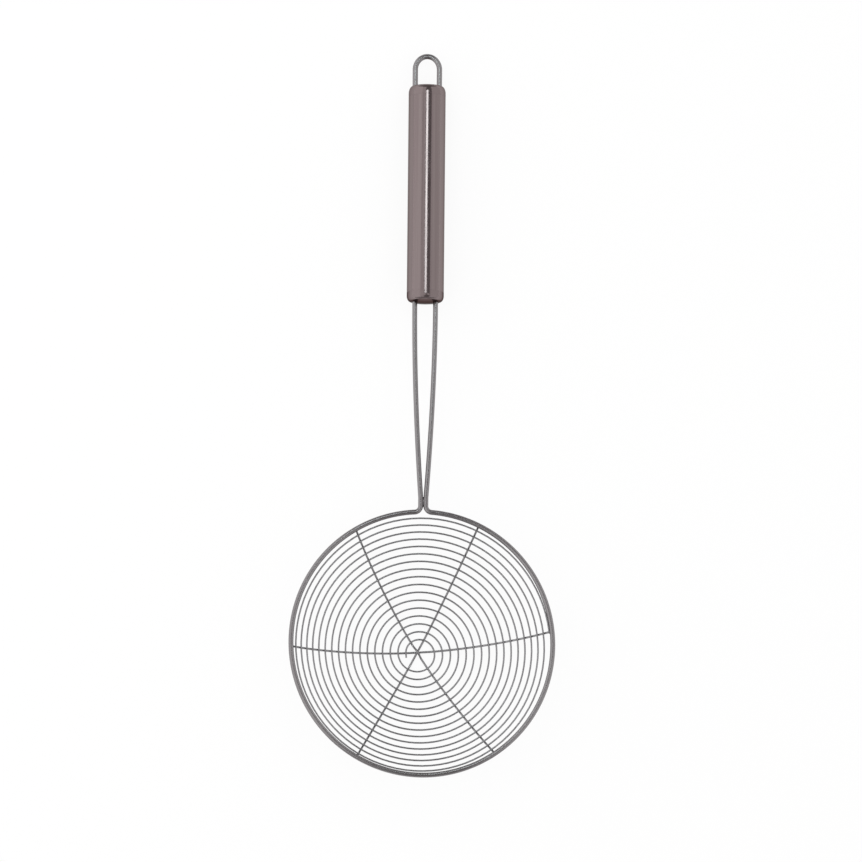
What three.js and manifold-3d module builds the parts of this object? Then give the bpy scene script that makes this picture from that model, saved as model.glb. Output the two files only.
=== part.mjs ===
// A stainless skimmer of welded wire. A spiral bowl lies on three cross wires inside a wire ring, and the
// ring's two legs run up into a hollow tube handle that ends in a hanging loop. Nothing on it moves.
// Millimetres, Z up. The tool is drawn flat, with its ring in the plane z = 0 and its handle along +Y, and is
// then laid down as it lies on a table, on the bowl's underside and the far end of the handle.
import * as THREE from "three";
import { mergeVertices } from "three/addons/utils/BufferGeometryUtils.js";
import Module from "manifold-3d";

// Driving dimensions of the ring, its neck and its legs
const RING_OUTSIDE_WIDTH = 140;
const RING_OUTSIDE_LENGTH = 142.6;
const FRAME_WIRE = 2.6;
const NECK_BEND_RADIUS = 3.3;
const NECK_LENGTH = 4.4;
const NECK_GAP = 0.15;
const LEG_INSERT = 14;
const LEG_INSET = 1.2;
const LEG_SPREAD_ANGLE = 4.1;
const LEG_NECK_EASE = 34.6;
const LEG_HANDLE_EASE = 34.6;

// Driving dimensions of the spiral bowl. Its lean is how far forward its turns lie where they meet the ring.
const BOWL_DEPTH = 30.8;
const BOWL_LEAN = 0.9;
const SPIRAL_WIRE = 0.9;
const SPIRAL_TURNS = 16.48;
const SPIRAL_INNER_RADIUS = 6.45;
const SPIRAL_INNER_END = 2.3;
const SPIRAL_START_ANGLE = 180;
const SPIRAL_STEPS_PER_TURN = 24;

// Driving dimensions of the three cross wires under the spiral, named from the lowest one at their crossing,
// which lies a little off the middle. A wire's bow is the angle by which each of its ends swings off the
// straight line.
const CROSS_WIRE = 1.1;
const CROSS_WIRES = [
  { name: "cross_wire_1", angle: 4.3, bow: 2.4 },
  { name: "cross_wire_2", angle: 62.6, bow: 1.8 },
  { name: "cross_wire_3", angle: 122.8, bow: -2.4 },
];
const CROSSING_X = -0.5;
const CROSSING_Y = 0.75;
const CROSS_BOW_REACH = 20;
const CROSS_STEPS = 46;

// Driving dimensions of the handle, its end caps and the hanging loop
const HANDLE_REACH = 181.4;
const HANDLE_LENGTH = 116;
const HANDLE_DIAMETER = 19.5;
const HANDLE_WALL = 0.8;
const CAP_SKIRT = 1.5;
const UPPER_SHOULDER_WIDTH = 2.0;
const UPPER_SHOULDER_HEIGHT = 3.8;
const UPPER_CROWN = 0.3;
const LOWER_SHOULDER_WIDTH = 1.8;
const LOWER_SHOULDER_HEIGHT = 3;
const LOWER_CROWN = 0.8;
const LOOP_WIRE = 2.8;
const LOOP_HEIGHT = 17.3;
const LOOP_STRAIGHT = 8.9;
const LOOP_INSERT = 6;

// The clearance left at every weld, so that each piece stays a solid of its own
const WELD_GAP = 0.2;

// Facets
const FRAME_SIDES = 8;
const FINE_WIRE_SIDES = 6;
const RING_STEPS = 36;
const BEND_STEPS = 8;
const LEG_STEPS = 14;
const LATHE_STEPS = 40;
const CAP_CURVE_STEPS = 2;
const HOLE_STEPS = 16;

// Sizes that follow from the driving ones
const ringHalfWidth = (RING_OUTSIDE_WIDTH - FRAME_WIRE) / 2;
const ringHalfLength = (RING_OUTSIDE_LENGTH - FRAME_WIRE) / 2;
const handleRadius = HANDLE_DIAMETER / 2;
const handleTop = HANDLE_REACH + HANDLE_LENGTH;
const lowerFlatRadius = handleRadius - LOWER_SHOULDER_WIDTH;
const upperFlatRadius = handleRadius - UPPER_SHOULDER_WIDTH;
const legHalfSpacing = lowerFlatRadius - FRAME_WIRE / 2 - LEG_INSET;
const loopHalfSpacing = upperFlatRadius - LOOP_WIRE / 2;
const lowerCapHeight = LOWER_CROWN + LOWER_SHOULDER_HEIGHT + CAP_SKIRT;
const upperCapHeight = UPPER_CROWN + UPPER_SHOULDER_HEIGHT + CAP_SKIRT;

// The spiral's centre line lies on a sphere that meets the ring at its sides, and the cross wires lie just
// outside it.
const spiralSphere = (ringHalfWidth ** 2 + BOWL_DEPTH ** 2) / (2 * BOWL_DEPTH);
const crossSphere = spiralSphere + (SPIRAL_WIRE + CROSS_WIRE) / 2 + WELD_GAP;
const sphereHeight = spiralSphere - BOWL_DEPTH;

const wasm = await Module();
wasm.setup();

const radians = THREE.MathUtils.degToRad;

// Steel finishes
function steel(color, roughness) {
  return new THREE.MeshStandardMaterial({ color, roughness, metalness: 1 });
}

function piece(name, geometry, material) {
  const mesh = new THREE.Mesh(geometry, material);
  mesh.name = name;
  return mesh;
}

// A curve that keeps the points it is given, so that a tight bend can have more of them than a straight run
class Route extends THREE.Curve {
  constructor(points) {
    super();
    this.points = points;
    this.last = points.length - 1;
  }

  getPointAt(share) {
    return this.points[Math.round(share * this.last)].clone();
  }

  getTangentAt(share) {
    const here = Math.round(share * this.last);
    const tangent = new THREE.Vector3();
    for (const start of [here - 1, here]) {
      if (start >= 0 && start < this.last) {
        tangent.add(this.points[start + 1].clone().sub(this.points[start]).normalize());
      }
    }
    return tangent.normalize();
  }
}

// A round wire along a list of points
function wire(points, diameter, sides) {
  const corners = [];
  for (let i = 0; i < sides; i++) {
    const angle = (2 * Math.PI * i) / sides;
    corners.push(new THREE.Vector2(Math.cos(angle), Math.sin(angle)).multiplyScalar(diameter / 2));
  }
  const route = new Route(points);
  return new THREE.ExtrudeGeometry(new THREE.Shape(corners), {
    steps: route.last,
    extrudePath: route,
    bevelEnabled: false,
  });
}

function lift2d(point) {
  return new THREE.Vector3(point.x, point.y, 0);
}

// The share between low and high where a falling value reaches zero
function fallingRoot(value, low, high) {
  let from = low;
  let to = high;
  for (let i = 0; i < 50; i++) {
    const middle = (from + to) / 2;
    if (value(middle) > 0) {
      from = middle;
    } else {
      to = middle;
    }
  }
  return from;
}

// Boolean cuts
function solidFrom(geometry) {
  const bare = geometry.clone();
  bare.deleteAttribute("normal");
  bare.deleteAttribute("uv");
  const merged = mergeVertices(bare, 1e-4);
  return new wasm.Manifold(
    new wasm.Mesh({
      numProp: 3,
      vertProperties: merged.attributes.position.array,
      triVerts: new Uint32Array(merged.index.array),
    }),
  );
}

function geometryFrom(solid) {
  const mesh = solid.getMesh();
  const geometry = new THREE.BufferGeometry();
  geometry.setAttribute("position", new THREE.BufferAttribute(mesh.vertProperties, 3));
  geometry.setIndex(new THREE.BufferAttribute(mesh.triVerts, 1));
  geometry.computeVertexNormals();
  return geometry;
}

// The frame is one wire: up one leg's hidden end, down to the neck, round the ring and back up the other leg.
function frameWire() {
  const neckHalf = (FRAME_WIRE + NECK_GAP) / 2;
  const bendCentreX = neckHalf + NECK_BEND_RADIUS;

  // The neck bend touches the ring where the ring, offset outwards by the bend's radius, meets its centre.
  function ringNormal(angle) {
    return new THREE.Vector2(Math.cos(angle) / ringHalfWidth, Math.sin(angle) / ringHalfLength).normalize();
  }
  function pastBendCentre(angle) {
    const x = ringHalfWidth * Math.cos(angle) + NECK_BEND_RADIUS * ringNormal(angle).x;
    return x - bendCentreX;
  }
  const touch = fallingRoot(pastBendCentre, 0, Math.PI / 2);
  const normal = ringNormal(touch);
  const bendCentreY = ringHalfLength * Math.sin(touch) + NECK_BEND_RADIUS * normal.y;

  const ring = new THREE.EllipseCurve(0, 0, ringHalfWidth, ringHalfLength, -Math.PI / 2, touch);
  const bend = new THREE.EllipseCurve(
    bendCentreX,
    bendCentreY,
    NECK_BEND_RADIUS,
    NECK_BEND_RADIUS,
    Math.atan2(-normal.y, -normal.x),
    Math.PI,
    true,
  );
  const neckTop = new THREE.Vector2(neckHalf, bendCentreY + NECK_LENGTH);
  const spread = new THREE.Vector2(Math.tan(radians(LEG_SPREAD_ANGLE)), 1).multiplyScalar(LEG_NECK_EASE);
  const leg = new THREE.CubicBezierCurve(
    neckTop,
    neckTop.clone().add(spread),
    new THREE.Vector2(legHalfSpacing, HANDLE_REACH - LEG_HANDLE_EASE),
    new THREE.Vector2(legHalfSpacing, HANDLE_REACH),
  );
  const right = [
    ...ring.getPoints(RING_STEPS),
    ...bend.getPoints(BEND_STEPS).slice(1),
    ...leg.getPoints(LEG_STEPS),
    new THREE.Vector2(legHalfSpacing, HANDLE_REACH + LEG_INSERT),
  ];
  const left = right.slice(1).map((point) => new THREE.Vector2(-point.x, point.y));
  return wire([...left.reverse(), ...right].map(lift2d), FRAME_WIRE, FRAME_SIDES);
}

// A point of the bowl, from its distance out in plan, its angle and the sphere that it lies on. Towards the
// ring the bowl takes on the ring's greater length, and leans forward.
function bowlPoint(radius, angle, sphere) {
  const share = radius / ringHalfWidth;
  const stretch = 1 + (ringHalfLength / ringHalfWidth - 1) * share ** 2;
  return new THREE.Vector3(
    radius * Math.cos(angle),
    radius * Math.sin(angle) * stretch - BOWL_LEAN * share,
    sphereHeight - Math.sqrt(sphere ** 2 - radius ** 2),
  );
}

// The spiral is one unbroken wire, evenly spaced along the bowl from its inner end to just inside the ring.
function spiralPoints() {
  const innerArc = spiralSphere * Math.asin(SPIRAL_INNER_RADIUS / spiralSphere);
  const ringArc = spiralSphere * Math.asin(ringHalfWidth / spiralSphere);
  const outerArc = ringArc - (FRAME_WIRE + SPIRAL_WIRE) / 2 - WELD_GAP;
  const steps = Math.round(SPIRAL_TURNS * SPIRAL_STEPS_PER_TURN);
  const points = [];
  for (let i = 0; i <= steps; i++) {
    const share = i / steps;
    const arc = innerArc + (outerArc - innerArc) * share;
    const angle = radians(SPIRAL_START_ANGLE) - 2 * Math.PI * SPIRAL_TURNS * share;
    points.push(bowlPoint(spiralSphere * Math.sin(arc / spiralSphere), angle, spiralSphere));
  }
  const innerEnd = straightEnd(points[1], points[0], SPIRAL_INNER_END);
  const outerEnd = straightEnd(points[steps - 1], points[steps], SPIRAL_WIRE);
  return [innerEnd, ...points, outerEnd];
}

// The point a given length past an end, straight on
function straightEnd(before, end, length) {
  return end.clone().add(end.clone().sub(before).setLength(length));
}

// The least gap between two turns of the spiral, measured between its points and the runs of the next turns
function leastGap(points) {
  const nearest = new THREE.Vector3();
  const run = new THREE.Line3();
  const apart = Math.round(SPIRAL_STEPS_PER_TURN / 2);
  let least = Infinity;
  points.forEach((point, i) => {
    for (let j = i + apart; j < points.length - 1; j++) {
      run.set(points[j], points[j + 1]).closestPointToPoint(point, true, nearest);
      least = Math.min(least, nearest.distanceTo(point));
    }
  });
  return least - SPIRAL_WIRE;
}

// A cross wire runs under the spiral from one side of the ring to the other. Where the three cross, inside
// the spiral's first turn, each arches over the one below it by a wire and a clearance.
function crossWire({ angle, bow }, level) {
  const crossing = new THREE.Vector2(CROSSING_X, CROSSING_Y);
  const archReach = SPIRAL_INNER_RADIUS - crossing.length() - (SPIRAL_WIRE + CROSS_WIRE) / 2;
  const archHeight = level * (CROSS_WIRE + WELD_GAP);
  const seat = (FRAME_WIRE + CROSS_WIRE) / 2 + WELD_GAP;

  function bowAt(along) {
    return Math.hypot(along, CROSS_BOW_REACH) - CROSS_BOW_REACH;
  }
  function pointAt(along) {
    const aside = (Math.tan(radians(bow)) * ringHalfWidth * bowAt(along)) / bowAt(ringHalfWidth);
    const place = new THREE.Vector2(along, aside).rotateAround(new THREE.Vector2(), radians(angle));
    place.add(crossing);
    const point = bowlPoint(place.length(), place.angle(), crossSphere);
    const share = Math.min(Math.abs(along) / archReach, 1);
    point.z += archHeight * Math.cos((share * Math.PI) / 2) ** 2;
    return point;
  }
  function clearOfRing(along) {
    const point = pointAt(along);
    const plan = Math.hypot(point.x / ringHalfWidth, point.y / ringHalfLength);
    const outwards = Math.hypot(point.x, point.y) * Math.max(1 / plan - 1, 0);
    return Math.hypot(outwards, point.z) - seat;
  }
  const farthest = ringHalfWidth + seat;
  const far = fallingRoot(clearOfRing, farthest / 2, farthest);
  const near = fallingRoot((along) => clearOfRing(-along), farthest / 2, farthest);

  // Points crowd towards the middle, where the arch bends most.
  const crowding = 1.6;
  const points = [];
  for (let i = 0; i <= CROSS_STEPS; i++) {
    const share = (2 * i) / CROSS_STEPS - 1;
    const reach = share < 0 ? near : far;
    points.push(pointAt(Math.sign(share) * Math.abs(share) ** crowding * reach));
  }
  return wire(points, CROSS_WIRE, FINE_WIRE_SIDES);
}

// The handle's body is a plain tube between the two caps.
function handleTube() {
  const start = HANDLE_REACH + lowerCapHeight + WELD_GAP;
  const end = handleTop - upperCapHeight - WELD_GAP;
  const bore = handleRadius - HANDLE_WALL;
  const profile = [
    new THREE.Vector2(bore, start),
    new THREE.Vector2(handleRadius, start),
    new THREE.Vector2(handleRadius, end),
    new THREE.Vector2(bore, end),
    new THREE.Vector2(bore, start),
  ];
  return new THREE.LatheGeometry(profile, LATHE_STEPS);
}

// An end cap is a pressed cup with a round shoulder and a crowned end, pierced for the two wires that it
// holds. It is turned with its rim at y = 0 and its end upwards.
function endCap({ height, crown, flatRadius, shoulderHeight, holeSpacing, wireDiameter }) {
  const innerRadius = handleRadius - HANDLE_WALL;
  const innerFlat = flatRadius - HANDLE_WALL / 2;
  const shoulderStart = height - crown - shoulderHeight;
  const innerShoulder = shoulderHeight - HANDLE_WALL;
  const outside = new THREE.Path();
  outside.moveTo(handleRadius, 0);
  outside.absellipse(flatRadius, shoulderStart, handleRadius - flatRadius, shoulderHeight, 0, Math.PI / 2);
  outside.quadraticCurveTo(flatRadius / 2, height, 0, height);
  const inside = new THREE.Path();
  inside.moveTo(0, height - HANDLE_WALL);
  inside.quadraticCurveTo(innerFlat / 2, height - HANDLE_WALL, innerFlat, height - crown - HANDLE_WALL);
  inside.absellipse(innerFlat, shoulderStart, innerRadius - innerFlat, innerShoulder, Math.PI / 2, 0, true);
  inside.lineTo(innerRadius, 0);
  const profile = [...inside.getPoints(CAP_CURVE_STEPS), ...outside.getPoints(CAP_CURVE_STEPS)];
  let cap = solidFrom(new THREE.LatheGeometry(profile, LATHE_STEPS));
  const holeRadius = wireDiameter / 2 + WELD_GAP;
  for (const side of [-1, 1]) {
    const hole = new THREE.CylinderGeometry(holeRadius, holeRadius, 2 * height, HOLE_STEPS);
    hole.translate(side * holeSpacing, height, 0);
    cap = cap.subtract(solidFrom(hole));
  }
  return geometryFrom(cap);
}

// The hanging loop is a bent wire whose two ends stand in the upper cap.
function hangingLoop() {
  const archBase = handleTop + LOOP_STRAIGHT;
  const archHeight = LOOP_HEIGHT - LOOP_WIRE / 2 - LOOP_STRAIGHT;
  const arch = new THREE.EllipseCurve(0, archBase, loopHalfSpacing, archHeight, Math.PI, 0, true);
  const points = [
    new THREE.Vector2(-loopHalfSpacing, handleTop - LOOP_INSERT),
    ...arch.getPoints(3 * BEND_STEPS),
    new THREE.Vector2(loopHalfSpacing, handleTop - LOOP_INSERT),
  ];
  return wire(points.map(lift2d), LOOP_WIRE, FRAME_SIDES);
}

// The handle and what is welded to it
const polished = steel(0x9a9092, 0.22);
const handle = new THREE.Group();
handle.add(piece("handle_tube", handleTube(), polished.clone()));

const upperCap = piece(
  "upper_end_cap",
  endCap({
    height: upperCapHeight,
    crown: UPPER_CROWN,
    flatRadius: upperFlatRadius,
    shoulderHeight: UPPER_SHOULDER_HEIGHT,
    holeSpacing: loopHalfSpacing,
    wireDiameter: LOOP_WIRE,
  }),
  polished.clone(),
);
upperCap.position.y = handleTop - upperCapHeight;
handle.add(upperCap);

const lowerCap = piece(
  "lower_end_cap",
  endCap({
    height: lowerCapHeight,
    crown: LOWER_CROWN,
    flatRadius: lowerFlatRadius,
    shoulderHeight: LOWER_SHOULDER_HEIGHT,
    holeSpacing: legHalfSpacing,
    wireDiameter: FRAME_WIRE,
  }),
  polished.clone(),
);
lowerCap.position.y = HANDLE_REACH + lowerCapHeight;
lowerCap.rotation.x = Math.PI;
handle.add(lowerCap);
handle.add(piece("hanging_loop", hangingLoop(), steel(0x979496, 0.3)));

// The head: the frame and the bowl that it carries
const head = new THREE.Group();
head.add(piece("frame_wire", frameWire(), steel(0x979496, 0.3)));
const spiral = spiralPoints();
console.log("least gap between turns of the spiral, mm:", leastGap(spiral).toFixed(2));
head.add(piece("spiral_wire", wire(spiral, SPIRAL_WIRE, FINE_WIRE_SIDES), steel(0x8d8b8d, 0.32)));
CROSS_WIRES.forEach((cross, level) => {
  head.add(piece(cross.name, crossWire(cross, level), steel(0x8d8b8d, 0.32)));
});

// The tool rests on a plane that touches the bowl's underside and the far end of the handle's full width.
function restAngle() {
  const underside = crossSphere + CROSS_WIRE / 2;
  const run = handleTop - UPPER_CROWN - UPPER_SHOULDER_HEIGHT;
  const rise = sphereHeight + handleRadius;
  return Math.acos(underside / Math.hypot(run, rise)) - Math.atan2(run, rise);
}

const tool = new THREE.Group();
tool.add(handle, head);
tool.rotation.x = restAngle();

// The origin is on the table, under the middle of the tool.
const box = new THREE.Box3().setFromObject(tool, true);
const middle = box.getCenter(new THREE.Vector3());
tool.position.set(-middle.x, -middle.y, -box.min.z);

const skimmer = new THREE.Group();
skimmer.add(tool);

export default skimmer;
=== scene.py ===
import math

import bmesh
import bpy
from mathutils import Matrix, Vector
from mathutils.geometry import interpolate_bezier
from mathutils.kdtree import KDTree

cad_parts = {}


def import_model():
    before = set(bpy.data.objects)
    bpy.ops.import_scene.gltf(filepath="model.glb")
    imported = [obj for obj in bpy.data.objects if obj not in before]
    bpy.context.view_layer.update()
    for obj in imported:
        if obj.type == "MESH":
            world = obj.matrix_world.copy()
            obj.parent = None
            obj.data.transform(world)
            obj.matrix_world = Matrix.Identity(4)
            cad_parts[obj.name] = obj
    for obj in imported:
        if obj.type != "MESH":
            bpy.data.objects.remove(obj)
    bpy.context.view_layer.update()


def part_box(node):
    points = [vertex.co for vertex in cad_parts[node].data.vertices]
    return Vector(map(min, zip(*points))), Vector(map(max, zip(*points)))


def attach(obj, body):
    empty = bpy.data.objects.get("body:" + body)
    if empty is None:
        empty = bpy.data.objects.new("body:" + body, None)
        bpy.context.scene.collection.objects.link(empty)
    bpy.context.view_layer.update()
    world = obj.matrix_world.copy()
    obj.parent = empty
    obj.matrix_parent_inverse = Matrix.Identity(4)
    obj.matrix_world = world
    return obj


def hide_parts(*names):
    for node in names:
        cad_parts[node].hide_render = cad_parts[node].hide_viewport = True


# The looks of a stainless skimmer of welded wire. Every piece is made again as a smooth form of the same
# size, in the tool's own flat frame: the ring lies in z = 0 around the origin and the handle runs along
# +Y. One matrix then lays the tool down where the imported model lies.
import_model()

MM = 0.001

# The ring, its neck and its legs
RING_OUTSIDE_WIDTH = 140 * MM
RING_OUTSIDE_LENGTH = 142.6 * MM
FRAME_WIRE = 2.6 * MM
NECK_BEND_RADIUS = 3.3 * MM
NECK_LENGTH = 4.4 * MM
NECK_GAP = 0.15 * MM
LEG_INSERT = 14 * MM
LEG_INSET = 1.2 * MM
LEG_SPREAD_ANGLE = math.radians(4.1)
LEG_NECK_EASE = 34.6 * MM
LEG_HANDLE_EASE = 34.6 * MM

# The spiral bowl, which leans forward by the time its turns meet the ring
BOWL_DEPTH = 30.8 * MM
BOWL_LEAN = 0.9 * MM
SPIRAL_WIRE = 0.9 * MM
SPIRAL_TURNS = 16.48
SPIRAL_INNER_RADIUS = 6.45 * MM
SPIRAL_INNER_END = 2.3 * MM
SPIRAL_START_ANGLE = math.radians(180)

# The three cross wires under the spiral, from the lowest at the crossing, with each one's angle and bow
CROSS_WIRE = 1.1 * MM
CROSS_WIRES = {
    "cross_wire_1": (math.radians(4.3), math.radians(2.4)),
    "cross_wire_2": (math.radians(62.6), math.radians(1.8)),
    "cross_wire_3": (math.radians(122.8), math.radians(-2.4)),
}
CROSSING = Vector((-0.5 * MM, 0.75 * MM))
CROSS_BOW_REACH = 20 * MM

# The handle, its end caps and the hanging loop
HANDLE_REACH = 181.4 * MM
HANDLE_LENGTH = 116 * MM
HANDLE_DIAMETER = 19.5 * MM
HANDLE_WALL = 0.8 * MM
CAP_SKIRT = 1.5 * MM
UPPER_SHOULDER_WIDTH = 2.0 * MM
UPPER_SHOULDER_HEIGHT = 3.8 * MM
UPPER_CROWN = 0.3 * MM
LOWER_SHOULDER_WIDTH = 1.8 * MM
LOWER_SHOULDER_HEIGHT = 3 * MM
LOWER_CROWN = 0.8 * MM
LOOP_WIRE = 2.8 * MM
LOOP_HEIGHT = 17.3 * MM
LOOP_STRAIGHT = 8.9 * MM
LOOP_INSERT = 6 * MM

# The clearance that the solids keep at every weld, and the hairline that shows of it on the handle
WELD_GAP = 0.2 * MM
SEAM = 0.012 * MM
SEAM_CHAMFER = 0.012 * MM

# The caps' holes: the room around each wire, and how far a cutter reaches to each side of the cap's end
HOLE_CLEARANCE = 0.12 * MM
HOLE_REACH = 6 * MM

# The welds, as half sizes along, across and through, and how far from a weld the steel is tinted
CROSSING_WELD = (0.72 * MM, 0.66 * MM, 0.5 * MM)
RING_WELD = (0.8 * MM, 0.6 * MM, 0.5 * MM)
NECK_WELD = (0.6 * NECK_LENGTH, 0.45 * MM, 0.75 * MM)
BOWL_HEAT_REACH = 1.3 * MM
LEG_HEAT_REACH = 4.5 * MM

# The chamfer at a wire's cut ends, as a share of its diameter, and the angle from which an edge is crisp
END_CHAMFER = 0.1
CRISP_ANGLE = math.radians(35)

# Smoothness
FRAME_SIDES = 28
FINE_WIRE_SIDES = 14
HOLE_SIDES = 56
RING_STEPS = 150
BEND_STEPS = 28
LEG_STEPS = 90
LOOP_STEPS = 112
HOLE_STEPS = 4
CROSS_STEPS = 220
SPIRAL_STEPS_PER_TURN = 90
LATHE_STEPS = 144
CAP_CURVE_STEPS = 18
WELD_SEGMENTS = 12
WELD_RINGS = 8
SEARCH_STEPS = 50

# Directions in the tool's own frame
UP = Vector((0, 0, 1))
ALONG_HANDLE = Vector((0, 1, 0))

# The photograph: its size, where the middle of the ring falls, how wide the ring is and how it is seen
PHOTO_SIZE = 862
RING_CENTRE_PIXEL = (421.9, 643.4)
RING_WIDTH_PIXELS = 267.3
VIEW_TILT = math.radians(10.52)
VIEW_YAW = math.radians(3.53)
VIEW_ROLL = math.radians(0.55)
CAMERA_DISTANCE = 16.0
SENSOR_WIDTH = 36.0

# Sizes that follow from the driving ones
ring_half_width = (RING_OUTSIDE_WIDTH - FRAME_WIRE) / 2
ring_half_length = (RING_OUTSIDE_LENGTH - FRAME_WIRE) / 2
handle_radius = HANDLE_DIAMETER / 2
handle_top = HANDLE_REACH + HANDLE_LENGTH
lower_flat_radius = handle_radius - LOWER_SHOULDER_WIDTH
upper_flat_radius = handle_radius - UPPER_SHOULDER_WIDTH
leg_half_spacing = lower_flat_radius - FRAME_WIRE / 2 - LEG_INSET
loop_half_spacing = upper_flat_radius - LOOP_WIRE / 2
lower_cap_height = LOWER_CROWN + LOWER_SHOULDER_HEIGHT + CAP_SKIRT
upper_cap_height = UPPER_CROWN + UPPER_SHOULDER_HEIGHT + CAP_SKIRT
tube_start = HANDLE_REACH + lower_cap_height + WELD_GAP
tube_end = handle_top - upper_cap_height - WELD_GAP
spiral_sphere = (ring_half_width**2 + BOWL_DEPTH**2) / (2 * BOWL_DEPTH)
cross_sphere = spiral_sphere + (SPIRAL_WIRE + CROSS_WIRE) / 2 + WELD_GAP
sphere_height = spiral_sphere - BOWL_DEPTH


def lay_down():
    """The matrix from the flat frame to where the tool lies, on its bowl and its handle's far end."""
    underside = cross_sphere + CROSS_WIRE / 2
    run = handle_top - UPPER_CROWN - UPPER_SHOULDER_HEIGHT
    rise = sphere_height + handle_radius
    angle = math.acos(underside / math.hypot(run, rise)) - math.atan2(run, rise)
    turn = Matrix.Rotation(angle, 4, "X")
    low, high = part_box("handle_tube")
    tube_middle = Vector((0, (tube_start + tube_end) / 2, 0))
    return Matrix.Translation((low + high) / 2 - turn @ tube_middle) @ turn


lay = lay_down()


# Routes of the wires

def between(start, end, steps):
    """Evenly spaced numbers from start to end, both included."""
    return [start + (end - start) * i / steps for i in range(steps + 1)]


def falling_root(value, low, high):
    """Where a falling value reaches zero between low and high."""
    for _ in range(SEARCH_STEPS):
        middle = (low + high) / 2
        if value(middle) > 0:
            low = middle
        else:
            high = middle
    return low


def neck_bend():
    """The angle where the neck's bend touches the ring, the ring's normal there and the bend's centre."""
    bend_x = (FRAME_WIRE + NECK_GAP) / 2 + NECK_BEND_RADIUS

    def ring_normal(angle):
        normal = Vector((math.cos(angle) / ring_half_width, math.sin(angle) / ring_half_length))
        return normal.normalized()

    def past_bend(angle):
        return ring_half_width * math.cos(angle) + NECK_BEND_RADIUS * ring_normal(angle).x - bend_x

    touch = falling_root(past_bend, 0, math.pi / 2)
    touch_normal = ring_normal(touch)
    bend_y = ring_half_length * math.sin(touch) + NECK_BEND_RADIUS * touch_normal.y
    return touch, touch_normal, Vector((bend_x, bend_y))


def frame_route():
    """From one leg's end in the handle to the neck, round the ring and up the other leg, as one wire."""
    touch, normal, centre = neck_bend()
    bend_start = math.atan2(-normal.y, -normal.x) % (2 * math.pi)
    right = []
    for angle in between(-math.pi / 2, touch, RING_STEPS):
        right.append((ring_half_width * math.cos(angle), ring_half_length * math.sin(angle)))
    for angle in between(bend_start, math.pi, BEND_STEPS)[1:]:
        right.append(tuple(centre + Vector((math.cos(angle), math.sin(angle))) * NECK_BEND_RADIUS))
    neck_top = centre + Vector((-NECK_BEND_RADIUS, NECK_LENGTH))
    leg = interpolate_bezier(
        neck_top,
        neck_top + Vector((math.tan(LEG_SPREAD_ANGLE), 1)) * LEG_NECK_EASE,
        Vector((leg_half_spacing, HANDLE_REACH - LEG_HANDLE_EASE)),
        Vector((leg_half_spacing, HANDLE_REACH)),
        LEG_STEPS + 1,
    )
    right += [tuple(point) for point in leg]
    right.append((leg_half_spacing, HANDLE_REACH + LEG_INSERT))
    left = [(-x, y) for x, y in right[:0:-1]]
    return [Vector((x, y, 0)) for x, y in left + right]


def loop_route():
    """The hanging loop, from one end inside the upper cap to the other."""
    arch_base = handle_top + LOOP_STRAIGHT
    arch_height = LOOP_HEIGHT - LOOP_WIRE / 2 - LOOP_STRAIGHT
    points = [Vector((-loop_half_spacing, handle_top - LOOP_INSERT, 0))]
    for angle in between(math.pi, 0, LOOP_STEPS):
        x = loop_half_spacing * math.cos(angle)
        points.append(Vector((x, arch_base + arch_height * math.sin(angle), 0)))
    points.append(Vector((loop_half_spacing, handle_top - LOOP_INSERT, 0)))
    return points


def bowl_point(radius, angle, sphere):
    """A point of the bowl, from its distance out in plan, its angle and the sphere that it lies on.
    Towards the ring the bowl takes on the ring's greater length, and leans forward."""
    share = radius / ring_half_width
    stretch = 1 + (ring_half_length / ring_half_width - 1) * share**2
    return Vector((
        radius * math.cos(angle),
        radius * math.sin(angle) * stretch - BOWL_LEAN * share,
        sphere_height - math.sqrt(sphere**2 - radius**2),
    ))


def spiral_course():
    """The spiral as (radius in plan, angle) pairs, evenly spaced along the bowl."""
    inner_arc = spiral_sphere * math.asin(SPIRAL_INNER_RADIUS / spiral_sphere)
    ring_arc = spiral_sphere * math.asin(ring_half_width / spiral_sphere)
    outer_arc = ring_arc - (FRAME_WIRE + SPIRAL_WIRE) / 2 - WELD_GAP
    steps = round(SPIRAL_TURNS * SPIRAL_STEPS_PER_TURN)
    course = []
    for share in between(0, 1, steps):
        arc = inner_arc + (outer_arc - inner_arc) * share
        angle = SPIRAL_START_ANGLE - 2 * math.pi * SPIRAL_TURNS * share
        course.append((spiral_sphere * math.sin(arc / spiral_sphere), angle))
    return course


def spiral_route(course):
    """The spiral's points, with each end straight."""
    points = [bowl_point(radius, angle, spiral_sphere) for radius, angle in course]
    first = points[0] + (points[0] - points[1]).normalized() * SPIRAL_INNER_END
    last = points[-1] + (points[-1] - points[-2]).normalized() * SPIRAL_WIRE
    return [first, *points, last]


def cross_aside(along, bow):
    """How far a cross wire has bowed off its straight line at a distance along it."""

    def bow_at(distance):
        return math.hypot(distance, CROSS_BOW_REACH) - CROSS_BOW_REACH

    return math.tan(bow) * ring_half_width * bow_at(along) / bow_at(ring_half_width)


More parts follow.
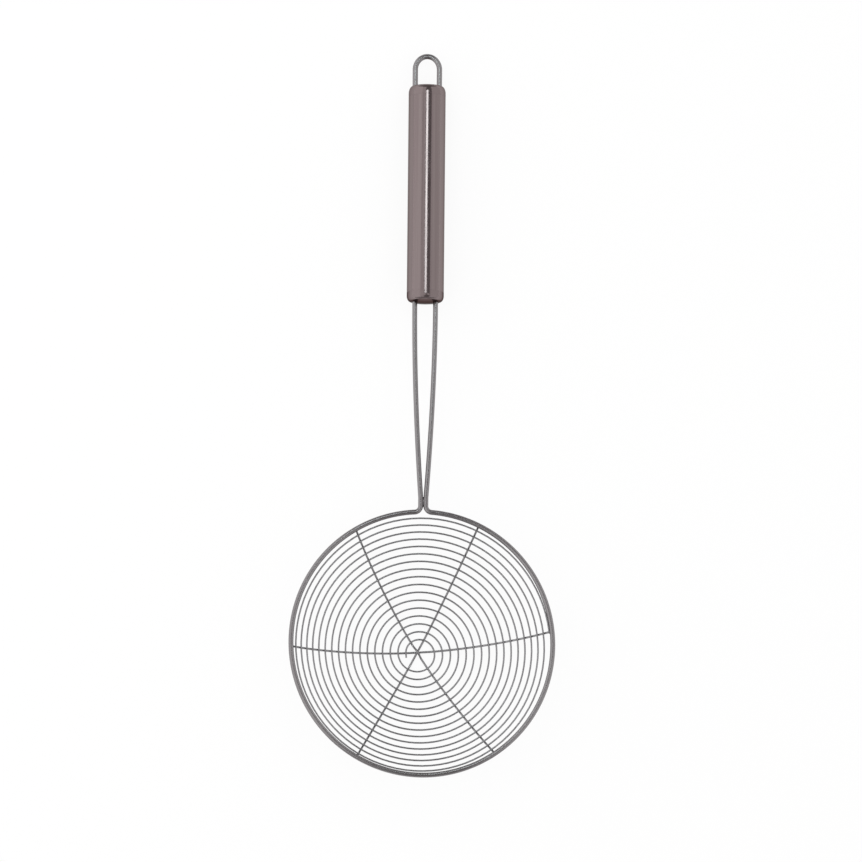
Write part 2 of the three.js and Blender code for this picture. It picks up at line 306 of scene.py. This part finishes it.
def cross_route(angle, bow, level):
    """A cross wire from ring to ring, which arches over the one below it in the spiral's first turn."""
    arch_reach = SPIRAL_INNER_RADIUS - CROSSING.length - (SPIRAL_WIRE + CROSS_WIRE) / 2
    arch_height = level * (CROSS_WIRE + WELD_GAP)
    seat = (FRAME_WIRE + CROSS_WIRE) / 2 + WELD_GAP

    def point_at(along):
        place = CROSSING + Matrix.Rotation(angle, 2) @ Vector((along, cross_aside(along, bow)))
        point = bowl_point(place.length, math.atan2(place.y, place.x), cross_sphere)
        share = min(abs(along) / arch_reach, 1)
        point.z += arch_height * math.cos(share * math.pi / 2) ** 2
        return point

    def clear_of_ring(along):
        point = point_at(along)
        plan = math.hypot(point.x / ring_half_width, point.y / ring_half_length)
        outwards = math.hypot(point.x, point.y) * max(1 / plan - 1, 0)
        return math.hypot(outwards, point.z) - seat

    farthest = ring_half_width + seat
    far = falling_root(clear_of_ring, farthest / 2, farthest)
    near = falling_root(lambda along: clear_of_ring(-along), farthest / 2, farthest)
    return [point_at(along) for along in between(-near, far, CROSS_STEPS)]


def crossings(course):
    """Where the spiral passes over a cross wire, as (radius in plan, angle) pairs."""
    found = []
    for angle, bow in CROSS_WIRES.values():
        turn_back = Matrix.Rotation(-angle, 2)
        beside = []
        for radius, spiral_angle in course:
            plan = Vector((math.cos(spiral_angle), math.sin(spiral_angle))) * radius
            along, aside = turn_back @ (plan - CROSSING)
            beside.append(aside - cross_aside(along, bow))
        for i, (before, after) in enumerate(zip(beside, beside[1:])):
            if before * after <= 0:
                found.append(Vector(course[i]).lerp(Vector(course[i + 1]), before / (before - after)))
    return found


# Mesh making

def finish_mesh(name, bm):
    """A smooth object made from a bmesh, in the tool's frame, with its normals facing out."""
    bmesh.ops.recalc_face_normals(bm, faces=bm.faces)
    mesh = bpy.data.meshes.new(name)
    bm.to_mesh(mesh)
    bm.free()
    mesh.polygons.foreach_set("use_smooth", [True] * len(mesh.polygons))
    mesh.set_sharp_from_angle(angle=CRISP_ANGLE)
    piece = bpy.data.objects.new(name, mesh)
    bpy.context.scene.collection.objects.link(piece)
    return piece


def drawn_places(piece, places):
    """Gives each vertex its place on the straight stock that it was drawn as, with Z along it."""
    layer = piece.data.attributes.new("drawn", "FLOAT_VECTOR", "POINT")
    layer.data.foreach_set("vector", [number for place in places for number in place])


def wire(name, points, diameter, sides):
    """A round wire along a list of points, with its two cut ends chamfered."""
    chamfer = diameter * END_CHAMFER
    start_way = (points[1] - points[0]).normalized()
    end_way = (points[-1] - points[-2]).normalized()
    stations = [points[0], points[0] + start_way * chamfer, *points[1:-1]]
    stations += [points[-1] - end_way * chamfer, points[-1]]
    across = start_way.orthogonal().normalized()
    bm = bmesh.new()
    rings = []
    places = []
    length = 0
    for i, point in enumerate(stations):
        before = stations[max(i - 1, 0)]
        after = stations[min(i + 1, len(stations) - 1)]
        way = (after - before).normalized()
        across = (across - way * across.dot(way)).normalized()
        over = way.cross(across)
        length += (point - before).length
        radius = diameter / 2
        if i in (0, len(stations) - 1):
            radius -= chamfer
        ring = []
        for k in range(sides):
            turn = 2 * math.pi * k / sides
            outwards = across * math.cos(turn) + over * math.sin(turn)
            ring.append(bm.verts.new(point + outwards * radius))
            places.append((math.cos(turn) * radius, math.sin(turn) * radius, length))
        rings.append(ring)
    for ring, following in zip(rings, rings[1:]):
        for k in range(sides):
            bm.faces.new((ring[k - 1], ring[k], following[k], following[k - 1]))
    bm.faces.new(rings[0])
    bm.faces.new(rings[-1])
    piece = finish_mesh(name, bm)
    drawn_places(piece, places)
    return piece


def lathe(name, profile, closed):
    """A turned piece about the tool's Y axis from (radius, y) points, as a ring or from axis to axis."""
    bm = bmesh.new()
    rings = []
    for radius, y in profile:
        if radius == 0:
            rings.append([bm.verts.new((0, y, 0))] * LATHE_STEPS)
            continue
        ring = []
        for k in range(LATHE_STEPS):
            turn = 2 * math.pi * k / LATHE_STEPS
            ring.append(bm.verts.new((radius * math.cos(turn), y, radius * math.sin(turn))))
        rings.append(ring)
    if closed:
        rings.append(rings[0])
    for ring, following in zip(rings, rings[1:]):
        for k in range(LATHE_STEPS):
            corners = dict.fromkeys((ring[k - 1], ring[k], following[k], following[k - 1]))
            bm.faces.new(corners)
    return finish_mesh(name, bm)


def cut(piece, cutters):
    """Cuts the cutters' forms out of a piece, and removes the cutters."""
    for cutter in cutters:
        modifier = piece.modifiers.new("cut", "BOOLEAN")
        modifier.operation = "DIFFERENCE"
        modifier.solver = "EXACT"
        modifier.object = cutter
    bpy.context.view_layer.update()
    whole = piece.data
    evaluated = piece.evaluated_get(bpy.context.evaluated_depsgraph_get())
    piece.data = bpy.data.meshes.new_from_object(evaluated)
    piece.data.name = whole.name
    piece.modifiers.clear()
    bpy.data.meshes.remove(whole)
    for cutter in cutters:
        bpy.data.objects.remove(cutter)
    piece.data.set_sharp_from_angle(angle=CRISP_ANGLE)


def turned_places(piece):
    """The places on the stock of a turned piece, which was drawn along the tool's Y axis."""
    drawn_places(piece, [(v.co.x, v.co.z, v.co.y) for v in piece.data.vertices])


# The pieces

def handle_body():
    """The plain tube between the caps, with a hairline seam at each end."""
    reach = (WELD_GAP - SEAM) / 2
    start = tube_start - reach
    end = tube_end + reach
    bore = handle_radius - HANDLE_WALL
    profile = [
        (bore, start),
        (handle_radius - SEAM_CHAMFER, start),
        (handle_radius, start + SEAM_CHAMFER),
        (handle_radius, end - SEAM_CHAMFER),
        (handle_radius - SEAM_CHAMFER, end),
        (bore, end),
    ]
    piece = lathe("handle_body", profile, closed=True)
    turned_places(piece)
    return piece


def end_cap(name, base, way, height, crown, flat_radius, shoulder_height, hole_spacing, wire_diameter):
    """A pressed cup with a round shoulder and a crowned end, pierced for the two wires that it holds."""
    rim = -(WELD_GAP - SEAM) / 2
    inner_radius = handle_radius - HANDLE_WALL
    inner_flat = flat_radius - HANDLE_WALL / 2
    shoulder_start = height - crown - shoulder_height
    inner_shoulder = shoulder_height - HANDLE_WALL
    outside = [(handle_radius - SEAM_CHAMFER, rim), (handle_radius, rim + SEAM_CHAMFER)]
    inside = [(inner_radius, rim)]
    for turn in between(0, math.pi / 2, CAP_CURVE_STEPS):
        across = math.cos(turn)
        rise = math.sin(turn)
        outer = flat_radius + (handle_radius - flat_radius) * across
        inner = inner_flat + (inner_radius - inner_flat) * across
        outside.append((outer, shoulder_start + shoulder_height * rise))
        inside.append((inner, shoulder_start + inner_shoulder * rise))
    for share in between(1, 0, CAP_CURVE_STEPS)[1:]:
        rise = crown * (1 - share**2)
        outside.append((flat_radius * share, height - crown + rise))
        inside.append((inner_flat * share, height - crown - HANDLE_WALL + rise))
    profile = [(radius, base + way * y) for radius, y in inside[::-1] + outside]
    piece = lathe(name, profile, closed=False)
    cutters = []
    for side in (-1, 1):
        bottom = base + way * (height - HOLE_REACH)
        top = base + way * (height + HOLE_REACH)
        path = [Vector((side * hole_spacing, y, 0)) for y in between(bottom, top, HOLE_STEPS)]
        cutters.append(wire("hole", path, wire_diameter + 2 * HOLE_CLEARANCE, HOLE_SIDES))
    cut(piece, cutters)
    turned_places(piece)
    return piece


def blob(bm, centre, normal, along, sizes):
    """Adds a lump of weld metal with its half sizes along, across and through the surface."""
    through = normal.normalized()
    across = through.cross(along).normalized()
    turn = Matrix((across.cross(through), across, through)).transposed().to_4x4()
    place = Matrix.Translation(centre) @ turn @ Matrix.Diagonal((*sizes, 1))
    bmesh.ops.create_uvsphere(
        bm, u_segments=WELD_SEGMENTS, v_segments=WELD_RINGS, radius=1, matrix=place
    )


def weld_piece(name, bm):
    """A piece of weld metal, which wasn't drawn, so that its vertices keep their own places."""
    piece = finish_mesh(name, bm)
    drawn_places(piece, [v.co for v in piece.data.vertices])
    return piece


def weld_spots(spots, cross_ends):
    """The spot welds of the bowl, at every crossing of its wires and where cross wires meet the ring."""
    bm = bmesh.new()
    sphere_middle = Vector((0, 0, sphere_height))
    for spot in spots:
        normal = spot - sphere_middle
        blob(bm, spot, normal, UP.cross(normal), CROSSING_WELD)
    for end in cross_ends:
        plan = Vector((end.x, end.y, 0))
        to_ring = plan / math.hypot(end.x / ring_half_width, end.y / ring_half_length) - end
        seat = end + to_ring.normalized() * (CROSS_WIRE + WELD_GAP) / 2
        blob(bm, seat, to_ring, UP.cross(plan), RING_WELD)
    return weld_piece("weld_spots", bm)


def neck_weld():
    """The weld that holds the two legs together at the neck, deep in the groove between them."""
    middle = Vector((0, neck_bend()[2].y + NECK_LENGTH / 2, 0))
    bm = bmesh.new()
    blob(bm, middle, UP, ALONG_HANDLE, NECK_WELD)
    return weld_piece("neck_weld", bm)


def weld_heat(piece, spots, reach):
    """Marks each vertex with how much a weld near it has coloured the steel, from 0 to 1."""
    tree = KDTree(len(spots))
    for i, spot in enumerate(spots):
        tree.insert(spot, i)
    tree.balance()
    distances = [tree.find(v.co)[2] for v in piece.data.vertices]
    layer = piece.data.attributes.new("heat", "FLOAT", "POINT")
    layer.data.foreach_set("value", [math.exp(-((distance / reach) ** 2)) for distance in distances])


# Materials

# What the steels share: the detail of their noise, the width and length of a smudge, the ranges of noise
# and heat that make a difference, the tint at a weld and the most of it that shows, and the streaks' relief
STREAK_DETAIL = 3.0
BAND_DETAIL = 2.0
SMUDGE_DETAIL = 4.0
SMUDGE = (6 * MM, 9 * MM)
NOISE_SUM_RANGE = (0.7, 1.3)
HEAT_RANGE = (0.1, 0.9)
HEAT_TINT = (0.16, 0.13, 0.11, 1)
HEAT_TINT_SHARE = 0.55
STREAK_STRENGTH = 0.08
STREAK_DEPTH = 0.02 * MM

# The places of a mix node's colour sockets, whose names it uses more than once
MIX_SHARE = 0
MIX_FIRST = 6
MIX_SECOND = 7
MIX_RESULT = 2


def node(tree, kind, sockets=None, **settings):
    """A shader node with its settings made and each named socket linked or set."""
    made = tree.nodes.new(kind)
    for key, value in settings.items():
        setattr(made, key, value)
    for key, value in (sockets or {}).items():
        if isinstance(value, bpy.types.NodeSocket):
            tree.links.new(value, made.inputs[key])
        else:
            made.inputs[key].default_value = value
    return made


def maths(tree, operation, first, second):
    """Two values put together by an operation."""
    return node(tree, "ShaderNodeMath", {0: first, 1: second}, operation=operation).outputs["Value"]


def noise(tree, place, size, detail):
    """Noise with a size across the drawing direction and another along it."""
    across, along = size
    scale = (1 / across, 1 / across, 1 / along)
    stretched = node(tree, "ShaderNodeMapping", {"Vector": place, "Scale": scale}).outputs["Vector"]
    sockets = {"Vector": stretched, "Scale": 1.0, "Detail": detail}
    return node(tree, "ShaderNodeTexNoise", sockets).outputs["Fac"]


def spread(tree, value, old_range, new_range):
    """A value brought from one range to another."""
    sockets = {
        "Value": value,
        "From Min": old_range[0],
        "From Max": old_range[1],
        "To Min": new_range[0],
        "To Max": new_range[1],
    }
    return node(tree, "ShaderNodeMapRange", sockets).outputs["Result"]


def mixed(tree, share, first, second):
    """Two colours mixed by a share."""
    sockets = {MIX_SHARE: share, MIX_FIRST: first, MIX_SECOND: second}
    return node(tree, "ShaderNodeMix", sockets, data_type="RGBA").outputs[MIX_RESULT]


def steel(name, pale, deep, roughness, streak, band, edge_tint, heated):
    """Drawn stainless steel, with streaks and bands along the drawing direction, smudges and, if it is
    heated, a tint at the welds."""
    material = bpy.data.materials.new(name)
    material.use_nodes = True
    tree = material.node_tree
    shader = tree.nodes["Principled BSDF"]
    shader.inputs["Metallic"].default_value = 1.0
    shader.inputs["Specular Tint"].default_value = edge_tint
    place = node(tree, "ShaderNodeAttribute", attribute_name="drawn").outputs["Vector"]
    streaks = noise(tree, place, streak, STREAK_DETAIL)
    bands = noise(tree, place, band, BAND_DETAIL)
    smudges = noise(tree, place, SMUDGE, SMUDGE_DETAIL)
    tone = maths(tree, "ADD", streaks, bands)
    colour = mixed(tree, spread(tree, tone, NOISE_SUM_RANGE, (0.0, 1.0)), deep, pale)
    if heated:
        heat = node(tree, "ShaderNodeAttribute", attribute_name="heat").outputs["Fac"]
        tinted = spread(tree, heat, HEAT_RANGE, (0.0, HEAT_TINT_SHARE))
        colour = mixed(tree, tinted, colour, HEAT_TINT)
    tree.links.new(colour, shader.inputs["Base Color"])
    worn = maths(tree, "ADD", streaks, smudges)
    tree.links.new(spread(tree, worn, NOISE_SUM_RANGE, roughness), shader.inputs["Roughness"])
    relief = {"Height": streaks, "Strength": STREAK_STRENGTH, "Distance": STREAK_DEPTH}
    bump = node(tree, "ShaderNodeBump", relief)
    tree.links.new(bump.outputs["Normal"], shader.inputs["Normal"])
    return material


handle_steel = steel(
    "handle_steel",
    pale=(0.274, 0.228, 0.226, 1),
    deep=(0.224, 0.177, 0.18, 1),
    roughness=(0.1, 0.2),
    streak=(0.25 * MM, 60 * MM),
    band=(2.2 * MM, 400 * MM),
    edge_tint=(0.5, 0.48, 0.475, 1),
    heated=False,
)
# The lower cap's steel is the handle's, a little darker and with edges that reflect far less. This is
# painted shade: its crowned end shows dark, as if it reflected the shadowed floor under the tool. Its tint
# where the legs are welded in is heat tint.
cap_steel_painted_shade = steel(
    "cap_steel_painted_shade",
    pale=(0.269, 0.224, 0.222, 1),
    deep=(0.219, 0.173, 0.176, 1),
    roughness=(0.12, 0.24),
    streak=(0.25 * MM, 60 * MM),
    band=(2.2 * MM, 400 * MM),
    edge_tint=(0.22, 0.205, 0.2, 1),
    heated=True,
)
frame_steel = steel(
    "frame_steel",
    pale=(0.32, 0.31, 0.315, 1),
    deep=(0.265, 0.25, 0.255, 1),
    roughness=(0.18, 0.27),
    streak=(0.3 * MM, 90 * MM),
    band=(1.6 * MM, 200 * MM),
    edge_tint=(0.55, 0.54, 0.54, 1),
    heated=False,
)
bowl_steel = steel(
    "bowl_steel",
    pale=(0.394, 0.391, 0.399, 1),
    deep=(0.293, 0.288, 0.295, 1),
    roughness=(0.2, 0.34),
    streak=(0.12 * MM, 12 * MM),
    band=(0.6 * MM, 40 * MM),
    edge_tint=(0.5, 0.5, 0.5, 1),
    heated=True,
)


def dress(piece, material, slot, *nodes):
    """Lays a piece down, gives it its material, and sets it in the place of its solids. Its slot is not
    used.
    """
    piece.data.transform(lay)
    piece.data.materials.clear()
    piece.data.materials.append(material)
    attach(piece, "root")
    if nodes:
        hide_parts(*nodes)


# The handle
dress(handle_body(), handle_steel, "handle_steel", "handle_tube")
upper_cap = end_cap(
    "loop_end_cap",
    base=handle_top - upper_cap_height,
    way=1,
    height=upper_cap_height,
    crown=UPPER_CROWN,
    flat_radius=upper_flat_radius,
    shoulder_height=UPPER_SHOULDER_HEIGHT,
    hole_spacing=loop_half_spacing,
    wire_diameter=LOOP_WIRE,
)
dress(upper_cap, handle_steel, "handle_steel", "upper_end_cap")
lower_cap = end_cap(
    "leg_end_cap",
    base=HANDLE_REACH + lower_cap_height,
    way=-1,
    height=lower_cap_height,
    crown=LOWER_CROWN,
    flat_radius=lower_flat_radius,
    shoulder_height=LOWER_SHOULDER_HEIGHT,
    hole_spacing=leg_half_spacing,
    wire_diameter=FRAME_WIRE,
)
leg_entries = [Vector((side * leg_half_spacing, HANDLE_REACH + LOWER_CROWN, 0)) for side in (-1, 1)]
weld_heat(lower_cap, leg_entries, LEG_HEAT_REACH)
# The lower cap takes the darker steel, whose dim edge reflection is painted shade.
dress(lower_cap, cap_steel_painted_shade, "handle_steel", "lower_end_cap")
hanging_bail = wire("hanging_bail", loop_route(), LOOP_WIRE, FRAME_SIDES)
dress(hanging_bail, frame_steel, "frame_steel", "hanging_loop")

# The frame
ring_and_legs = wire("ring_and_legs", frame_route(), FRAME_WIRE, FRAME_SIDES)
dress(ring_and_legs, frame_steel, "frame_steel", "frame_wire")
dress(neck_weld(), frame_steel, "frame_steel")

# The bowl
spiral = spiral_course()
weld_sphere = spiral_sphere + (SPIRAL_WIRE + WELD_GAP) / 2
weld_places = [bowl_point(radius, angle, weld_sphere) for radius, angle in crossings(spiral)]
spiral_bowl = wire("spiral_bowl", spiral_route(spiral), SPIRAL_WIRE, FINE_WIRE_SIDES)
bowl_pieces = [(spiral_bowl, ["spiral_wire"])]
cross_ends = []
for level, (cross_name, (cross_angle, cross_bow)) in enumerate(CROSS_WIRES.items()):
    route = cross_route(cross_angle, cross_bow, level)
    cross_ends += [route[0], route[-1]]
    weld_places.append(min(route, key=lambda point: (point.xy - CROSSING).length))
    rib = wire(cross_name.replace("cross_wire", "rib"), route, CROSS_WIRE, FINE_WIRE_SIDES)
    bowl_pieces.append((rib, [cross_name]))
bowl_pieces.append((weld_spots(weld_places, cross_ends), []))
for piece, cad_nodes in bowl_pieces:
    weld_heat(piece, weld_places + cross_ends, BOWL_HEAT_REACH)
    dress(piece, bowl_steel, "bowl_steel", *cad_nodes)


# The stage, in metres: a pale floor that shows white, in a dim room. Soft lamps stand at both sides and
# in front. Overhead are one on the left, a small cool one for the bright streak on the handle, two small
# ones for the ring, and a wide one that lights the floor but doesn't show in the steel.

FLOOR_SIZE = 40.0
FLOOR_DROP = 0.3 * MM
FLOOR_COLOUR = (0.95, 0.95, 0.95, 1)
FLOOR_GLOW = 0.88
WHITE = (1, 1, 1)
COOL_WHITE = (0.88, 1, 1)
ROOM_COLOUR = (0.26, 0.25, 0.25, 1)
DOWN = (0, 0, -1)


def floor():
    """A plain pale floor, which partly glows as the camera and the steel see it, so that its shadow stays
    faint."""
    bm = bmesh.new()
    bmesh.ops.create_grid(bm, x_segments=1, y_segments=1, size=FLOOR_SIZE / 2)
    mesh = bpy.data.meshes.new("floor")
    bm.to_mesh(mesh)
    bm.free()
    ground = bpy.data.objects.new("floor", mesh)
    ground.location.z = -FLOOR_DROP
    bpy.context.scene.collection.objects.link(ground)
    material = bpy.data.materials.new("floor")
    material.use_nodes = True
    tree = material.node_tree
    tree.nodes.clear()
    path = node(tree, "ShaderNodeLightPath").outputs
    seen = path["Is Camera Ray"]
    for ray in ("Is Glossy Ray", "Is Transmission Ray"):
        seen = maths(tree, "MAXIMUM", seen, path[ray])
    share = maths(tree, "MULTIPLY", seen, FLOOR_GLOW)
    matt = node(tree, "ShaderNodeBsdfDiffuse", {"Color": FLOOR_COLOUR}).outputs["BSDF"]
    glow = node(tree, "ShaderNodeEmission", {"Strength": 1.0}).outputs["Emission"]
    both = node(tree, "ShaderNodeMixShader", {0: share, 1: matt, 2: glow}).outputs["Shader"]
    node(tree, "ShaderNodeOutputMaterial", {"Surface": both})
    mesh.materials.append(material)


def lamp(name, place, facing, size, brightness, colour=WHITE, in_steel=True):
    """A soft rectangular lamp, given the brightness of its face and hidden from the camera. Its first size
    lies along X, or along Y where it faces more along X than along Y."""
    data = bpy.data.lights.new(name, "AREA")
    data.shape = "RECTANGLE"
    data.size, data.size_y = size
    data.energy = math.pi * size[0] * size[1] * brightness
    data.color = colour
    light = bpy.data.objects.new(name, data)
    back = -Vector(facing).normalized()
    level = Vector((0, 1, 0)) if abs(back.x) > abs(back.y) else Vector((1, 0, 0))
    turn = Matrix((level, back.cross(level), back)).transposed().to_4x4()
    light.matrix_world = Matrix.Translation(place) @ turn
    light.visible_camera = False
    light.visible_glossy = in_steel
    bpy.context.scene.collection.objects.link(light)


def world():
    """The dim room around the lamps."""
    made = bpy.data.worlds.new("room")
    made.use_nodes = True
    made.node_tree.nodes["Background"].inputs["Color"].default_value = ROOM_COLOUR
    bpy.context.scene.world = made


def photo_camera():
    """The camera at the photograph's angle, with its picture set by where the ring falls in it."""
    pixel = RING_OUTSIDE_WIDTH / RING_WIDTH_PIXELS
    right = Vector((math.cos(VIEW_YAW), 0, math.sin(VIEW_YAW)))
    back = Vector((
        -math.sin(VIEW_YAW) * math.cos(VIEW_TILT),
        -math.sin(VIEW_TILT),
        math.cos(VIEW_YAW) * math.cos(VIEW_TILT),
    ))
    up = back.cross(right)
    turned_right = right * math.cos(VIEW_ROLL) + up * math.sin(VIEW_ROLL)
    turned_up = up * math.cos(VIEW_ROLL) - right * math.sin(VIEW_ROLL)
    aside = (PHOTO_SIZE / 2 - RING_CENTRE_PIXEL[0]) * pixel
    above = (RING_CENTRE_PIXEL[1] - PHOTO_SIZE / 2) * pixel
    place = turned_right * aside + turned_up * above + back * CAMERA_DISTANCE
    data = bpy.data.cameras.new("photo")
    data.sensor_width = SENSOR_WIDTH
    data.lens = SENSOR_WIDTH * CAMERA_DISTANCE / (PHOTO_SIZE * pixel)
    data.clip_end = 2 * CAMERA_DISTANCE
    camera = bpy.data.objects.new("photo", data)
    turn = Matrix((turned_right, turned_up, back)).transposed().to_4x4()
    camera.matrix_world = lay @ Matrix.Translation(place) @ turn
    bpy.context.scene.collection.objects.link(camera)
    bpy.context.scene.camera = camera


floor()
world()
lamp("left_softbox", (-1.09, 0.3, 0.58), facing=(0.85, 0, -0.525), size=(3.0, 1.36), brightness=0.82)
lamp("left_ceiling", (-0.4, 0.3, 1.0), facing=DOWN, size=(0.42, 2.4), brightness=0.62)
lamp("right_softbox", (1.025, 0.3, 0.635), facing=(-0.83, 0, -0.556), size=(3.0, 1.53), brightness=0.59)
lamp(
    "overhead_strip",
    (-0.035, 0.42, 1.0),
    facing=DOWN,
    size=(0.19, 0.24),
    brightness=4.0,
    colour=COOL_WHITE,
)
lamp("ring_ceiling_left", (-0.105, 0.03, 1.0), facing=DOWN, size=(0.17, 0.2), brightness=1.05)
lamp("ring_ceiling_right", (0.25, 0.03, 1.0), facing=DOWN, size=(0.22, 0.2), brightness=1.05)
lamp("front_softbox", (0, -1.1, 0.5), facing=(0, 1.1, -0.5), size=(1.6, 0.7), brightness=0.22)
lamp("floor_fill", (0, 0, 3.0), facing=DOWN, size=(4.0, 4.0), brightness=0.9, in_steel=False)
photo_camera()
bpy.context.scene.view_settings.view_transform = "Standard"
